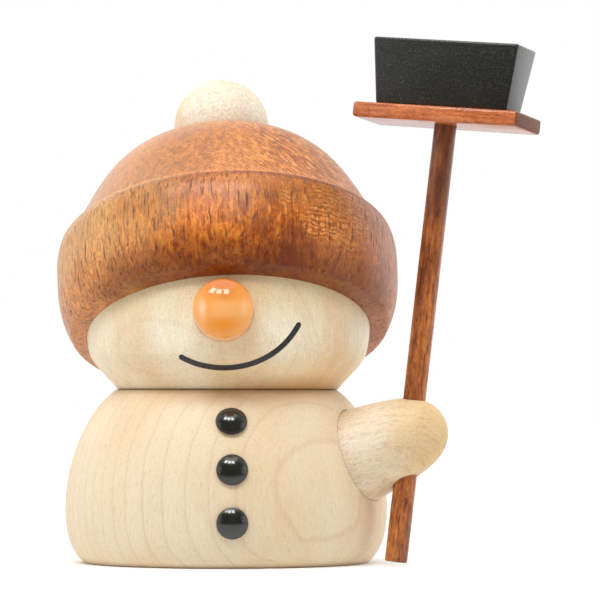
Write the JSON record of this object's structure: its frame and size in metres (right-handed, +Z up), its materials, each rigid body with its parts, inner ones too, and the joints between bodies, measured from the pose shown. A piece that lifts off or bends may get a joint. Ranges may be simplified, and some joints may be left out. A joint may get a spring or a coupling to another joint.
{
  "type": "wooden snowman figure",
  "caption": "Small turned wooden snowman with a bobble hat, round nose, domed buttons and a mitten holding a broom; a free-standing seasonal ornament.",
  "frame": {"origin": "centre of the body's flat base, on the surface it stands on", "axes": "+Z up, the nose points along -Y, +X towards the broom"},
  "size_m": [0.0787, 0.0589, 0.0855],
  "materials": {
    "maple_body": "pale maple, fine sanded, clear satin",
    "maple_head": "pale maple, fine sanded, clear satin, thin painted smile",
    "maple_pompom": "pale maple, fine sanded, clear satin",
    "maple_arm": "pale maple, fine sanded, clear satin",
    "red_wood_hat": "reddish-brown hardwood with open pores, satin lacquer",
    "orange_lacquer": "gloss orange lacquer on wood",
    "black_gloss": "gloss black lacquer on wood",
    "red_wood_stick": "reddish-brown hardwood, satin",
    "red_wood_board": "reddish-brown hardwood, satin",
    "black_bristle": "matt black stain on fine-grained wood",
    "dowel_wood": "plain hardwood dowel"
  },
  "bodies": {
    "figure": {"body": "maple_body", "neck_dowel": "dowel_wood", "arm": "maple_arm", "arm_dowel": "dowel_wood", "button_top": "black_gloss", "button_middle": "black_gloss", "button_bottom": "black_gloss"},
    "head": {"head": "maple_head", "hat": "red_wood_hat", "hat_dowel": "dowel_wood", "pompom": "maple_pompom", "nose": "orange_lacquer"},
    "stick": {"broom_stick": "red_wood_stick"},
    "broom_head": {"broom_board": "red_wood_board", "bristle_block": "black_bristle"}
  },
  "joints": [
    {"name": "head_turn", "type": "hinge", "parent": "figure", "child": "head", "pos_m": [0.00025, 0, 0.0282], "axis": [0, 0, 1], "continuous": true},
    {"name": "broom_slide", "type": "slide", "parent": "figure", "child": "stick", "axis": [0.1149, 0.0262, 0.993], "range_m": [0, 0.022]},
    {"name": "broom_turn", "type": "hinge", "parent": "stick", "child": "broom_head", "pos_m": [0.0297, -0.01375, 0.0209], "axis": [0.1149, 0.0262, 0.993], "continuous": true}
  ]
}
